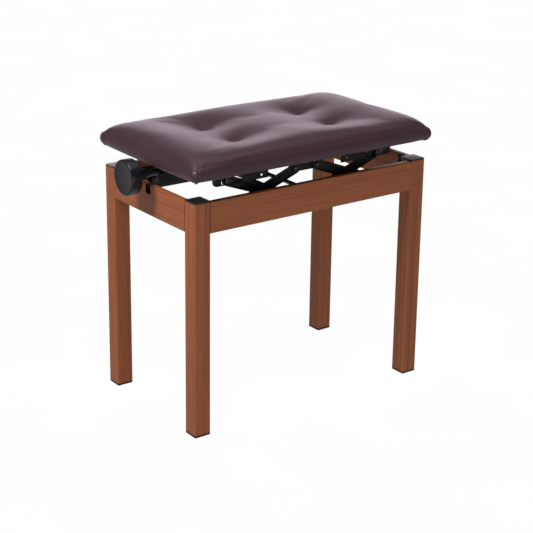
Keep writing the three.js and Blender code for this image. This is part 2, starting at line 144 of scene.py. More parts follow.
class StageSettings(bpy.types.PropertyGroup):
    azimuth: bpy.props.FloatProperty(
        name="Azimuth", description="Camera's turn round the bench", default=math.radians(-35.43),
        unit="ROTATION",
    )
    elevation: bpy.props.FloatProperty(
        name="Elevation", description="Camera's height angle", default=math.radians(17.16),
        unit="ROTATION",
    )
    roll: bpy.props.FloatProperty(
        name="Roll", description="Camera's tilt", default=math.radians(0.41), unit="ROTATION"
    )
    distance: length("Distance", "Camera to aim point", 2680)
    aim: bpy.props.FloatVectorProperty(
        name="Aim", description="Point that the camera's axis passes through",
        default=(-0.0258, 0.0211, 0.3781), subtype="XYZ",
    )
    lens: bpy.props.FloatProperty(
        name="Lens", description="Focal length in millimetres", default=94.45, min=1
    )
    shift: bpy.props.FloatVectorProperty(
        name="Shift", description="Lens shift", default=(0.0497, -0.1323), size=2
    )


# ---------------------------------------------------------------- mesh helpers


def object_from_bmesh(name, bm):
    mesh = bpy.data.meshes.new(name)
    bm.to_mesh(mesh)
    bm.free()
    obj = bpy.data.objects.new(name, mesh)
    bpy.context.scene.collection.objects.link(obj)
    return obj


def shade(obj, sharp_angle=32):
    mesh = obj.data
    mesh.polygons.foreach_set("use_smooth", [True] * len(mesh.polygons))
    mesh.set_sharp_from_angle(angle=math.radians(sharp_angle))


def close_skin(bm):
    """Merges doubles and turns the faces outwards."""
    bmesh.ops.remove_doubles(bm, verts=bm.verts, dist=1e-6)
    bmesh.ops.recalc_face_normals(bm, faces=bm.faces)


def round_edges(bm, radius, steps=2, sharper_than=40):
    edges = [
        e
        for e in bm.edges
        if len(e.link_faces) == 2 and e.calc_face_angle(0) > math.radians(sharper_than)
    ]
    bmesh.ops.bevel(
        bm, geom=edges, offset=radius, segments=steps, profile=0.5, affect="EDGES",
        clamp_overlap=True,
    )


def rounded_outline(width, height, radius, steps):
    """Points of a rounded rectangle about the origin, anticlockwise."""
    points = []
    for quarter in range(4):
        cx = (width / 2 - radius) * (1 if quarter in (0, 3) else -1)
        cy = (height / 2 - radius) * (1 if quarter < 2 else -1)
        for i in range(steps + 1):
            angle = math.pi / 2 * (quarter + i / steps)
            points.append((cx + radius * math.cos(angle), cy + radius * math.sin(angle)))
    return points


def square_tube(name, low, high, axis, corner, wall, steps=6):
    """An open tube between two corners of its box, along X, Y or Z, with rounded long edges."""
    middle, size = (low + high) / 2, high - low
    across = [i for i in range(3) if i != axis]
    width, height = size[across[0]], size[across[1]]
    lip = 0.4 * MM
    outer = rounded_outline(width, height, corner, steps)
    inner_corner = max(corner - wall, 0.3 * MM)
    inner = rounded_outline(width - 2 * wall, height - 2 * wall, inner_corner, steps)
    half = size[axis] / 2
    rings = []
    for outline, shrink, along in (
        (outer, lip, -half), (outer, 0, -half + lip), (outer, 0, half - lip), (outer, lip, half),
        (inner, 0, half), (inner, 0, -half),
    ):
        factor_w = 1 - 2 * shrink / width
        factor_h = 1 - 2 * shrink / height
        ring = []
        for u, v in outline:
            place = [0, 0, 0]
            place[across[0]], place[across[1]], place[axis] = u * factor_w, v * factor_h, along
            ring.append(middle + Vector(place))
        rings.append(ring)
    bm = bmesh.new()
    rows = [[bm.verts.new(p) for p in ring] for ring in rings]
    count = len(outer)
    for i, row in enumerate(rows):
        following = rows[(i + 1) % len(rows)]
        for j in range(count):
            k = (j + 1) % count
            bm.faces.new((row[j], row[k], following[k], following[j]))
    bmesh.ops.recalc_face_normals(bm, faces=bm.faces)
    return object_from_bmesh(name, bm)


def turned(bm, profile, centre, axis, segments):
    """Adds a closed turned solid. Profile points are (distance along the axis, radius)."""
    across = [i for i in range(3) if i != axis]
    rows = []
    for along, radius in profile:
        if radius <= 0:
            place = [0, 0, 0]
            place[axis] = along
            rows.append([bm.verts.new(centre + Vector(place))])
            continue
        row = []
        for i in range(segments):
            angle = 2 * math.pi * i / segments
            place = [0, 0, 0]
            place[across[0]] = radius * math.cos(angle)
            place[across[1]] = radius * math.sin(angle)
            place[axis] = along
            row.append(bm.verts.new(centre + Vector(place)))
        rows.append(row)
    made = []
    for a, b in zip(rows, rows[1:]):
        for i in range(segments):
            k = (i + 1) % segments
            ends = [a[i % len(a)], a[k % len(a)], b[k % len(b)], b[i % len(b)]]
            corners = list(dict.fromkeys(ends))
            if len(corners) > 2:
                made.append(bm.faces.new(corners))
    bmesh.ops.recalc_face_normals(bm, faces=made)
    return made


def turned_object(name, profile, centre, axis, segments=48):
    bm = bmesh.new()
    turned(bm, profile, centre, axis, segments)
    return object_from_bmesh(name, bm)


def arc(centre, radius, start, end, steps):
    """Profile points on an arc, with angles in degrees from the axis direction."""
    return [
        (
            centre[0] + radius * math.cos(math.radians(start + (end - start) * i / steps)),
            centre[1] + radius * math.sin(math.radians(start + (end - start) * i / steps)),
        )
        for i in range(steps + 1)
    ]


def shaped_copy(node, radius, steps=2):
    """A copy of a frame node with its faces merged and its edges rounded."""
    bm = bmesh.new()
    bm.from_mesh(frame["nodes"][node].data)
    bmesh.ops.remove_doubles(bm, verts=bm.verts, dist=2e-6)
    bmesh.ops.dissolve_limit(
        bm, angle_limit=math.radians(0.8), verts=bm.verts, edges=bm.edges, delimit=set()
    )
    round_edges(bm, radius, steps)
    bmesh.ops.triangulate(bm, faces=[f for f in bm.faces if len(f.verts) > 4])
    return object_from_bmesh(f"{node}_shaped", bm)


def baked(obj, name):
    """A plain mesh object from an object with live modifiers, which is then removed."""
    graph = bpy.context.evaluated_depsgraph_get()
    mesh = bpy.data.meshes.new_from_object(obj.evaluated_get(graph))
    mesh.name = name
    bpy.data.objects.remove(obj)
    made = bpy.data.objects.new(name, mesh)
    bpy.context.scene.collection.objects.link(made)
    return made


def joined(name, objects):
    """One plain object from several that have no modifiers. Each keeps its own material."""
    bm = bmesh.new()
    materials = []
    for obj in objects:
        own = obj.data.materials[0] if obj.data.materials else None
        if own not in materials:
            materials.append(own)
        start = len(bm.faces)
        bm.from_mesh(obj.data)
        bm.faces.ensure_lookup_table()
        for face in bm.faces[start:]:
            face.material_index = materials.index(own)
        bpy.data.objects.remove(obj)
    made = object_from_bmesh(name, bm)
    for material in materials:
        if material:
            made.data.materials.append(material)
    return made


def place(obj, material, slot, *nodes, body=None, sharp_angle=32):
    """Gives a finished piece its material and ties it to the body of the nodes it stands for."""
    if material:
        obj.data.materials.clear()
        obj.data.materials.append(material)
    shade(obj, sharp_angle)
    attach(obj, body or BODY_OF[nodes[0]])
    if nodes:
        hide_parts(*nodes)
    return obj


# ---------------------------------------------------------------- geometry node trees


def new_tree(name, inputs):
    tree = bpy.data.node_groups.new(name, "GeometryNodeTree")
    tree.interface.new_socket("Geometry", in_out="INPUT", socket_type="NodeSocketGeometry")
    for label, kind, default in inputs:
        socket = tree.interface.new_socket(label, in_out="INPUT", socket_type=f"NodeSocket{kind}")
        if default is not None:
            socket.default_value = default
    tree.interface.new_socket("Geometry", in_out="OUTPUT", socket_type="NodeSocketGeometry")
    source = tree.nodes.new("NodeGroupInput")
    return tree, source


def end_tree(tree, source, geometry):
    """Ends a tree in Realize Instances and Set Material."""
    realize = tree.nodes.new("GeometryNodeRealizeInstances")
    paint = tree.nodes.new("GeometryNodeSetMaterial")
    sink = tree.nodes.new("NodeGroupOutput")
    tree.links.new(geometry, realize.inputs["Geometry"])
    tree.links.new(realize.outputs["Geometry"], paint.inputs["Geometry"])
    tree.links.new(source.outputs["Finish"], paint.inputs["Material"])
    tree.links.new(paint.outputs["Geometry"], sink.inputs["Geometry"])
    return tree


def fastener_tree():
    """Copies of one small part on points, turned to each point's facing and spin."""
    tree, source = new_tree(
        "Fasteners on points",
        [("Part", "Object", None), ("Scale", "Float", 1.0), ("Finish", "Material", None)],
    )
    nodes, link = tree.nodes, tree.links.new
    info = nodes.new("GeometryNodeObjectInfo")
    facing = nodes.new("GeometryNodeInputNamedAttribute")
    facing.data_type = "FLOAT_VECTOR"
    facing.inputs["Name"].default_value = "facing"
    spin = nodes.new("GeometryNodeInputNamedAttribute")
    spin.data_type = "FLOAT"
    spin.inputs["Name"].default_value = "spin"
    align = nodes.new("FunctionNodeAlignRotationToVector")
    align.axis = "Z"
    about = nodes.new("FunctionNodeAxisAngleToRotation")
    about.inputs["Axis"].default_value = (0, 0, 1)
    turn = nodes.new("FunctionNodeRotateRotation")
    turn.rotation_space = "LOCAL"
    scatter = nodes.new("GeometryNodeInstanceOnPoints")
    link(source.outputs["Part"], info.inputs["Object"])
    link(facing.outputs["Attribute"], align.inputs["Vector"])
    link(spin.outputs["Attribute"], about.inputs["Angle"])
    link(align.outputs["Rotation"], turn.inputs["Rotation"])
    link(about.outputs["Rotation"], turn.inputs["Rotate By"])
    link(source.outputs["Geometry"], scatter.inputs["Points"])
    link(info.outputs["Geometry"], scatter.inputs["Instance"])
    link(turn.outputs["Rotation"], scatter.inputs["Rotation"])
    link(source.outputs["Scale"], scatter.inputs["Scale"])
    return end_tree(tree, source, scatter.outputs["Instances"])


def thread_tree():
    """A screw thread along X from its start, as a ridge wound round a root radius."""
    tree, source = new_tree(
        "Screw thread",
        [
            ("Pitch", "Float", 0.0024),
            ("Turns", "Float", 10.0),
            ("Root Radius", "Float", 0.005),
            ("Ridge", "Float", 0.001),
            ("Start", "Float", 0.0),
            ("Height", "Float", 0.0),
            ("Left Hand", "Bool", False),
            ("Finish", "Material", None),
        ],
    )
    nodes, link = tree.nodes, tree.links.new
    rise = nodes.new("ShaderNodeMath")
    rise.operation = "MULTIPLY"
    spiral = nodes.new("GeometryNodeCurveSpiral")
    spiral.inputs["Resolution"].default_value = 20
    section = nodes.new("GeometryNodeCurvePrimitiveCircle")
    section.inputs["Resolution"].default_value = 4
    sweep = nodes.new("GeometryNodeCurveToMesh")
    sweep.inputs["Fill Caps"].default_value = True
    shift = nodes.new("ShaderNodeCombineXYZ")
    move = nodes.new("GeometryNodeTransform")
    move.inputs["Rotation"].default_value = (0, math.pi / 2, 0)
    link(source.outputs["Pitch"], rise.inputs[0])
    link(source.outputs["Turns"], rise.inputs[1])
    link(rise.outputs[0], spiral.inputs["Height"])
    link(source.outputs["Turns"], spiral.inputs["Rotations"])
    link(source.outputs["Root Radius"], spiral.inputs["Start Radius"])
    link(source.outputs["Root Radius"], spiral.inputs["End Radius"])
    link(source.outputs["Left Hand"], spiral.inputs["Reverse"])
    link(source.outputs["Ridge"], section.inputs["Radius"])
    link(spiral.outputs["Curve"], sweep.inputs["Curve"])
    link(section.outputs["Curve"], sweep.inputs["Profile Curve"])
    link(source.outputs["Start"], shift.inputs["X"])
    link(source.outputs["Height"], shift.inputs["Z"])
    link(sweep.outputs["Mesh"], move.inputs["Geometry"])
    link(shift.outputs["Vector"], move.inputs["Translation"])
    return end_tree(tree, source, move.outputs["Geometry"])


def tree_named(name, build):
    return bpy.data.node_groups.get(name) or build()


def grown(name, points, tree, **inputs):
    """A plain mesh grown by a node tree on points given as (place, facing, spin)."""
    mesh = bpy.data.meshes.new(name)
    mesh.from_pydata([p[0] for p in points], [], [])
    facing = mesh.attributes.new("facing", "FLOAT_VECTOR", "POINT")
    facing.data.foreach_set("vector", [x for p in points for x in p[1]])
    spin = mesh.attributes.new("spin", "FLOAT", "POINT")
    spin.data.foreach_set("value", [p[2] for p in points])
    obj = bpy.data.objects.new(name + "_points", mesh)
    bpy.context.scene.collection.objects.link(obj)
    modifier = obj.modifiers.new("Grow", "NODES")
    modifier.node_group = tree
    sockets = {
        item.name: item.identifier
        for item in tree.interface.items_tree
        if item.item_type == "SOCKET" and item.in_out == "INPUT"
    }
    for label, value in inputs.items():
        modifier[sockets[label.replace("_", " ")]] = value
    return baked(obj, name)


# ---------------------------------------------------------------- materials


class Finish:
    """A node material in the making."""

    def __init__(self, name):
        self.material = bpy.data.materials.new(name)
        self.material.use_nodes = True
        self.tree = self.material.node_tree
        self.shader = self.tree.nodes["Principled BSDF"]
        self.coordinates = self.tree.nodes.new("ShaderNodeTexCoord").outputs["Object"]

    def fixed(self, **values):
        """Values that are the same all over, set on the shader's own sockets."""
        for label, value in values.items():
            self.shader.inputs[label.replace("_", " ")].default_value = value
        return self

    def mapping(self, scale, rotation=(0, 0, 0), location=(0, 0, 0)):
        node = self.tree.nodes.new("ShaderNodeMapping")
        node.inputs["Scale"].default_value = scale
        node.inputs["Rotation"].default_value = rotation
        node.inputs["Location"].default_value = location
        self.tree.links.new(self.coordinates, node.inputs["Vector"])
        return node.outputs["Vector"]

    def noise(self, vector, scale, detail=3, roughness=0.5, distortion=0.0):
        node = self.tree.nodes.new("ShaderNodeTexNoise")
        node.inputs["Scale"].default_value = scale
        node.inputs["Detail"].default_value = detail
        node.inputs["Roughness"].default_value = roughness
        node.inputs["Distortion"].default_value = distortion
        self.tree.links.new(vector, node.inputs["Vector"])
        return node.outputs["Fac"]

    def cells(self, vector, scale, feature="F1", randomness=1.0):
        node = self.tree.nodes.new("ShaderNodeTexVoronoi")
        node.feature = feature
        node.inputs["Scale"].default_value = scale
        node.inputs["Randomness"].default_value = randomness
        self.tree.links.new(vector, node.inputs["Vector"])
        return node.outputs["Distance"]

    def ramp(self, value, *stops):
        node = self.tree.nodes.new("ShaderNodeValToRGB")
        elements = node.color_ramp.elements
        while len(elements) < len(stops):
            elements.new(0.5)
        for element, (position, tone) in zip(elements, stops):
            element.position = position
            element.color = (*tone, 1) if hasattr(tone, "__len__") else (tone, tone, tone, 1)
        self.tree.links.new(value, node.inputs["Fac"])
        return node.outputs["Color"]

    def levels(self, value, low, high, start=0.3, end=0.7):
        node = self.tree.nodes.new("ShaderNodeMapRange")
        node.inputs["From Min"].default_value = start
        node.inputs["From Max"].default_value = end
        node.inputs["To Min"].default_value = low
        node.inputs["To Max"].default_value = high
        self.tree.links.new(value, node.inputs["Value"])
        return node.outputs["Result"]

    def math(self, operation, a, b):
        node = self.tree.nodes.new("ShaderNodeMath")
        node.operation = operation
        for socket, value in zip(node.inputs, (a, b)):
            if isinstance(value, (int, float)):
                socket.default_value = value
            else:
                self.tree.links.new(value, socket)
        return node.outputs[0]

    def mix(self, factor, a, b, blend="MIX"):
        node = self.tree.nodes.new("ShaderNodeMix")
        node.data_type = "RGBA"
        node.blend_type = blend
        sockets = [s for s in node.inputs if s.enabled]
        for socket, value in zip(sockets, (factor, a, b)):
            if isinstance(value, (int, float)):
                socket.default_value = value
            elif hasattr(value, "default_value"):
                self.tree.links.new(value, socket)
            else:
                socket.default_value = (*value, 1)
        return next(s for s in node.outputs if s.enabled)

    def colour(self, output):
        self.tree.links.new(output, self.shader.inputs["Base Color"])
        return self

    def rough(self, output):
        self.tree.links.new(output, self.shader.inputs["Roughness"])
        return self

    def bump(self, height, strength, distance):
        node = self.tree.nodes.new("ShaderNodeBump")
        node.inputs["Strength"].default_value = strength
        node.inputs["Distance"].default_value = distance
        self.tree.links.new(height, node.inputs["Height"])
        last = self.shader.inputs["Normal"]
        if last.is_linked:
            self.tree.links.new(last.links[0].from_socket, node.inputs["Normal"])
        self.tree.links.new(node.outputs["Normal"], last)
        return self


def wood_wrap(axis):
    """Printed wood wrap with its grain along one axis."""
    name = f"wood_wrap_along_{'xyz'[axis]}"
    if name in bpy.data.materials:
        return bpy.data.materials[name]
    settings = bpy.context.scene.bench_wood
    finish = Finish(name)

    def stretched(across, along, shift=0.0):
        scale = [across] * 3
        scale[axis] = along
        return finish.mapping(scale, location=(shift, shift * 0.7, shift * 1.3))

    broad = finish.noise(stretched(70, 1.6), 1, detail=2, distortion=0.6)
    figure = finish.noise(stretched(240, 5, 3.1), 1, detail=4, roughness=0.6, distortion=0.25)
    fibre = finish.noise(stretched(900, 16, 7.7), 1, detail=2, roughness=0.7)
    pores = finish.noise(stretched(1100, 45, 1.9), 1, detail=1)
    streak = finish.noise(stretched(230, 1.1, 11.3), 1, detail=2, distortion=0.3)
    tone = finish.math(
        "ADD", finish.math("MULTIPLY", broad, 0.35), finish.math("MULTIPLY", figure, 0.65)
    )
    base = finish.ramp(
        tone,
        (0.30, settings.wood_dark),
        (0.44, [0.5 * (a + b) for a, b in zip(settings.wood_dark, settings.wood_middle)]),
        (0.52, settings.wood_middle),
        (0.68, settings.wood_pale),
    )
    base = finish.mix(0.5, settings.wood_middle, base)
    fine = finish.ramp(fibre, (0.3, 0.82), (0.7, 1.12))
    base = finish.mix(0.7, base, fine, "MULTIPLY")
    dark_lines = finish.ramp(streak, (0.32, 0.42), (0.39, 1.0))
    base = finish.mix(0.7, base, dark_lines, "MULTIPLY")
    pits = finish.ramp(pores, (0.28, 0.55), (0.36, 1.0))
    base = finish.mix(0.6, base, pits, "MULTIPLY")
    finish.colour(base)
    finish.rough(finish.levels(figure, 0.36, 0.52))
    finish.bump(fibre, 0.12, 0.0002)
    finish.bump(pores, 0.1, 0.0002)
    return finish.fixed(Specular_IOR_Level=0.32).material


def moulded_plastic(name, tone, low, high, grain):
    finish = Finish(name)
    speck = finish.noise(finish.mapping((1, 1, 1)), 1500, detail=2)
    cloud = finish.noise(finish.mapping((1, 1, 1)), 45, detail=3)
    pale = [c * 1.35 for c in tone]
    finish.colour(finish.ramp(cloud, (0.35, tone), (0.75, pale)))
    finish.rough(finish.levels(cloud, low, high))
    finish.bump(speck, grain, 0.00012)
    return finish.fixed(Specular_IOR_Level=0.4).material


def painted_steel():
    settings = bpy.context.scene.bench_lift
    finish = Finish("black_painted_steel")
    peel = finish.noise(finish.mapping((1, 1, 1)), 600, detail=2)
    cloud = finish.noise(finish.mapping((1, 1, 1)), 38, detail=4, roughness=0.6)
    dust = finish.noise(finish.mapping((1, 1, 1), location=(5, 2, 1)), 2600, detail=1)
    worn = [c * 2.2 for c in settings.paint]
    base = finish.ramp(cloud, (0.4, settings.paint), (0.8, worn))
    base = finish.mix(finish.ramp(dust, (0.68, 0.0), (0.78, 0.5)), base, (0.03, 0.03, 0.032))
    finish.colour(base)
    finish.rough(finish.levels(cloud, 0.38, 0.52))
    finish.bump(peel, 0.12, 0.0002)
    return finish.fixed(Specular_IOR_Level=0.3).material


def blackened_steel():
    settings = bpy.context.scene.bench_lift
    finish = Finish("blackened_steel")
    turning = finish.noise(finish.mapping((900, 60, 60)), 1, detail=2)
    cloud = finish.noise(finish.mapping((1, 1, 1)), 120, detail=3)
    bright = [c * 1.9 for c in settings.bare_steel]
    finish.colour(finish.ramp(cloud, (0.35, settings.bare_steel), (0.75, bright)))
    finish.rough(finish.levels(turning, 0.22, 0.42))
    finish.bump(turning, 0.08, 0.0001)
    return finish.fixed(Metallic=0.9).material


def leatherette():
    settings = bpy.context.scene.bench_cushion
    finish = Finish("grained_leatherette")
    even = finish.mapping((1, 1, 1))
    wobble = finish.mapping((1, 1, 1.1), rotation=(0.3, 0.2, 0.5))
    pebbles = finish.cells(even, 720, "DISTANCE_TO_EDGE")
    pebble_shape = finish.ramp(pebbles, (0.0, 0.0), (0.16, 0.75), (0.5, 1.0))
    fine = finish.noise(wobble, 2400, detail=2, roughness=0.6)
    cloud = finish.noise(even, 14, detail=3)
    light = [c * 1.12 for c in settings.leather]
    base = finish.ramp(cloud, (0.35, settings.leather), (0.7, light))
    # Painted shade: the cell borders, where the bump sinks the grain into valleys, are darkened in
    # the colour.
    valley_shade = finish.ramp(pebbles, (0.0, settings.leather_valley_shade), (0.1, (1, 1, 1)))
    base = finish.mix(0.25, base, valley_shade, "MULTIPLY")
    finish.colour(base)
    finish.rough(finish.levels(fine, 0.36, 0.47))
    finish.bump(pebble_shape, 0.14, 0.0002)
    finish.bump(fine, 0.08, 0.0001)
    return finish.fixed(
        Specular_IOR_Level=0.42,
        Specular_Tint=(1.0, 0.78, 0.9, 1),
        Sheen_Weight=0.06,
        Sheen_Roughness=0.4,
        Sheen_Tint=(1.0, 0.82, 0.9, 1),
    ).material


def plywood():
    finish = Finish("seat_plywood")
    figure = finish.noise(finish.mapping((5, 60, 60)), 1, detail=4, distortion=0.5)
    plies = finish.noise(finish.mapping((0.5, 0.5, 480)), 1, detail=0)
    base = finish.ramp(figure, (0.3, (0.36, 0.2, 0.1)), (0.7, (0.55, 0.35, 0.19)))
    edges = finish.ramp(plies, (0.42, 0.75), (0.55, 1.0))
    finish.colour(finish.mix(1.0, base, edges, "MULTIPLY"))
    finish.rough(finish.levels(figure, 0.6, 0.8))
    return finish.bump(figure, 0.15, 0.0003).material


def dust_cloth():
    """Black spun cloth: short fibres pressed in a small square pattern."""
    finish = Finish("black_dust_cloth")
    fibres = finish.noise(finish.mapping((1, 2.2, 1)), 900, detail=3, roughness=0.7)
    dots = finish.cells(finish.mapping((1, 1, 0)), 420, "F1", 0.15)
    pressed = finish.ramp(dots, (0.18, 0.0), (0.34, 1.0))
    base = finish.ramp(fibres, (0.35, (0.004, 0.004, 0.0045)), (0.7, (0.02, 0.02, 0.021)))
    finish.colour(base)
    finish.rough(finish.levels(fibres, 0.8, 0.95))
    finish.bump(pressed, 0.5, 0.0003)
    return finish.bump(fibres, 0.35, 0.0002).material


def material_named(name, build, *values):
    """A material made once. Names differ from the slots', which the frame's own materials have."""
    return bpy.data.materials.get(name) or build(*values)


def steel():
    return material_named("black_painted_steel", painted_steel)


def rod_steel():
    return material_named("blackened_steel", blackened_steel)


def cap_plastic():
    tone = list(bpy.context.scene.bench_knob.cap_plastic)
    name = "cap_plastic"
    return material_named(name, moulded_plastic, name, tone, 0.34, 0.46, 0.12)


def knob_plastic():
    tone = list(bpy.context.scene.bench_knob.plastic)
    name = "knob_plastic"
    return material_named(name, moulded_plastic, name, tone, 0.3, 0.38, 0.05)


# ---------------------------------------------------------------- wooden frame


class BENCH_OT_wood_frame(bpy.types.Operator):
    """Builds the four legs and four rails of wrapped steel tube"""

    bl_idname = "bench.wood_frame"
    bl_label = "Legs and rails"

    notch_floor = 425.5 * MM
    notch_width = 18 * MM
    notch_corner = 2.5 * MM
    cutter_length = 40 * MM
    cutter_rise = 10 * MM

    def execute(self, context):
        settings = context.scene.bench_wood
        tubes = [(f"leg_{corner}", 2) for corner in CORNERS]
        tubes += [("rail_front", 0), ("rail_back", 0), ("rail_left", 1), ("rail_right", 1)]
        for node, axis in tubes:
            low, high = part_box(node)
            tube = square_tube(
                f"{node}_wrapped", low, high, axis, settings.corner_radius, settings.wall
            )
            if node == "rail_left":
                tube = self.notched(tube)
            place(tube, wood_wrap(axis), "wood_wrap", node)
        return {"FINISHED"}

    def notched(self, rail):
        """Cuts the notch in which the spindle comes down at the seat's lowest position."""
        heights = sorted({round(v.co.z, 5) for v in frame["nodes"]["rail_left"].data.vertices})
        low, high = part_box("rail_left")
        floor = min(heights, key=lambda z: abs(z - self.notch_floor))
        bm = bmesh.new()
        bmesh.ops.create_cube(bm, size=1)
        for v in bm.verts:
            v.co.x = (low.x + high.x) / 2 + v.co.x * self.cutter_length
            v.co.y = v.co.y * self.notch_width
            v.co.z = floor if v.co.z < 0 else high.z + self.cutter_rise
        floor_edges = [
            e for e in bm.edges
            if all(v.co.z < high.z for v in e.verts)
            and abs(e.verts[0].co.x - e.verts[1].co.x) > self.cutter_length / 2
        ]
        bmesh.ops.bevel(
            bm, geom=floor_edges, offset=self.notch_corner, segments=4, affect="EDGES", profile=0.5
        )
        cutter = object_from_bmesh("notch_cutter", bm)
        modifier = rail.modifiers.new("Notch", "BOOLEAN")
        modifier.operation = "DIFFERENCE"
        modifier.solver = "EXACT"
        modifier.object = cutter
        made = baked(rail, rail.name)
        bpy.data.objects.remove(cutter)
        return made


class BENCH_OT_caps(bpy.types.Operator):
    """Builds the plastic caps on top of the legs and under them"""

    bl_idname = "bench.caps"
    bl_label = "Leg caps and feet"

    def execute(self, context):
        for corner in CORNERS:
            for kind in ("leg_cap", "foot_cap"):
                cap = shaped_copy(f"{kind}_{corner}", 0.6 * MM, steps=3)
                place(cap, cap_plastic(), "plastic", f"{kind}_{corner}")
        return {"FINISHED"}


# ---------------------------------------------------------------- seat lift


class BENCH_OT_lift(bpy.types.Operator):
    """Builds the steel channels, corner plates, brackets, scissor arms and crossheads"""

    bl_idname = "bench.lift"
    bl_label = "Seat lift"

    def execute(self, context):
        rounding = context.scene.bench_lift.edge_rounding
        nodes = [
            f"{kind}_{corner}"
            for kind in ("corner_plate", "seat_bracket", "outer_arm", "inner_arm")
            for corner in CORNERS
        ]
        nodes += [
            "base_channel_front", "base_channel_back", "middle_bracket_front",
            "middle_bracket_back", "spindle_carrier", "end_bearing",
        ]
        for node in nodes:
            piece = shaped_copy(node, rounding)
            place(piece, steel(), "black_steel", node)
        for end in ("left", "right"):
            block = shaped_copy(f"crosshead_{end}", rounding)
            place(block, rod_steel(), "pin_steel", f"crosshead_{end}")
        return {"FINISHED"}


class BENCH_OT_pins(bpy.types.Operator):
    """Builds the scissors' pins and rods"""

    bl_idname = "bench.pins"
    bl_label = "Pins and rods"

    # Stations of each pin as (distance, radius) in mm. The first list starts at the end nearer
    # the middle plane, and the second one counts from the outer end. A guide pin slides in its
    # channel's slot, with a wider roller behind the slot at its outer end.
    shapes = {
        "seat_pin": (
            ((0, 0), (0, 5.9), (0.5, 6.5), (2, 6.5), (2, 4)),
            (
                (-3.5, 4), (-3.5, 6.5), (-2.6, 6.5), (-2.6, 5.6), (-1.6, 5.6), (-0.7, 5),
                (-0.15, 3.6), (0, 1.8), (0, 0),
            ),
        ),
        "centre_pin": (
            ((0, 0), (0, 5.5), (0.4, 7.4), (1, 8), (2, 8), (2, 3)),
            ((-0.5, 3), (0, 2.6), (0, 0)),
        ),
        "guide_pin": (
            ((0, 0), (0, 5.8), (0.5, 6.5), (2, 6.5), (2, 4)),
            (
                (-6.4, 4), (-6.4, 6.4), (-5.8, 7), (-0.6, 7), (0, 6.4), (0, 3.4), (-0.5, 3.1),
                (-0.5, 0),
            ),
        ),
    }
    rod_chamfer = 0.8 * MM
    segments = 28

    def execute(self, context):
        for corner in CORNERS:
            outward = -1 if corner.startswith("front") else 1
            for kind, (inner, outer) in self.shapes.items():
                node = f"{kind}_{corner}"
                low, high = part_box(node)
                near, far = sorted((abs(low.y), abs(high.y)))
                self.turn(node, [
                    (outward * (end + along * MM), radius * MM)
                    for end, stations in ((near, inner), (far, outer))
                    for along, radius in stations
                ])
        for end in ("left", "right"):
            node = f"pivot_rod_{end}"
            low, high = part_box(node)
            reach, radius = high.y, (high.z - low.z) / 2
            chamfer = self.rod_chamfer
            self.turn(node, [
                (-reach, 0), (-reach, radius - chamfer), (-reach + chamfer, radius),
                (reach - chamfer, radius), (reach, radius - chamfer), (reach, 0),
            ])
        return {"FINISHED"}

    def turn(self, node, profile):
        low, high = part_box(node)
        centre = Vector(((low.x + high.x) / 2, 0, (low.z + high.z) / 2))
        pin = turned_object(f"{node}_turned", profile, centre, 1, self.segments)
        place(pin, rod_steel(), "pin_steel", node)


class BENCH_OT_spindle(bpy.types.Operator):
    """Builds the spindle with its two opposite threads, and its collar"""

    bl_idname = "bench.spindle"
    bl_label = "Spindle"

    def execute(self, context):
        settings = context.scene.bench_lift
        centre = Vector((0, 0, (SPINDLE_LOW.z + SPINDLE_HIGH.z) / 2))
        radius = (SPINDLE_HIGH.z - SPINDLE_LOW.z) / 2
        root = radius - settings.thread_depth
        left, right = SPINDLE_LOW.x, SPINDLE_HIGH.x
        chamfer = 1.2 * MM
        middle_gap = 4 * MM
        thread_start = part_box("spindle_carrier")[1].x + 3 * MM
        thread_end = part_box("end_bearing")[0].x - 2 * MM
        profile = [
            (left, 0), (left, radius - chamfer), (left + chamfer, radius),
            (thread_start - 1 * MM, radius), (thread_start, root),
            (CENTRE_X - middle_gap, root), (CENTRE_X - middle_gap + 1 * MM, radius),
            (CENTRE_X + middle_gap - 1 * MM, radius), (CENTRE_X + middle_gap, root),
            (thread_end, root), (thread_end + 1 * MM, radius), (right - chamfer, radius),
            (right, radius - chamfer), (right, 0),
        ]
        pieces = [turned_object("spindle_core", profile, centre, 0, 40)]
        pieces[0].data.materials.append(rod_steel())
        tree = tree_named("Screw thread", thread_tree)
        pitch = settings.thread_pitch
        for start, stop, left_hand in (
            (thread_start + pitch / 2, CENTRE_X - middle_gap - pitch / 2, False),
            (CENTRE_X + middle_gap + pitch / 2, thread_end - pitch / 2, True),
        ):
            pieces.append(grown(
                "spindle_thread", [(Vector((0, 0, 0)), (0, 0, 1), 0.0)], tree,
                Pitch=pitch, Turns=(stop - start) / pitch, Root_Radius=root,
                Ridge=settings.thread_depth, Start=start, Height=centre.z, Left_Hand=left_hand,
                Finish=rod_steel(),
            ))
        spindle = joined("spindle_threaded", pieces)
        place(spindle, rod_steel(), "pin_steel", "spindle")
        collar = shaped_copy("thrust_collar", 0.8 * MM, steps=3)
        place(collar, rod_steel(), "pin_steel", "thrust_collar")
        return {"FINISHED"}


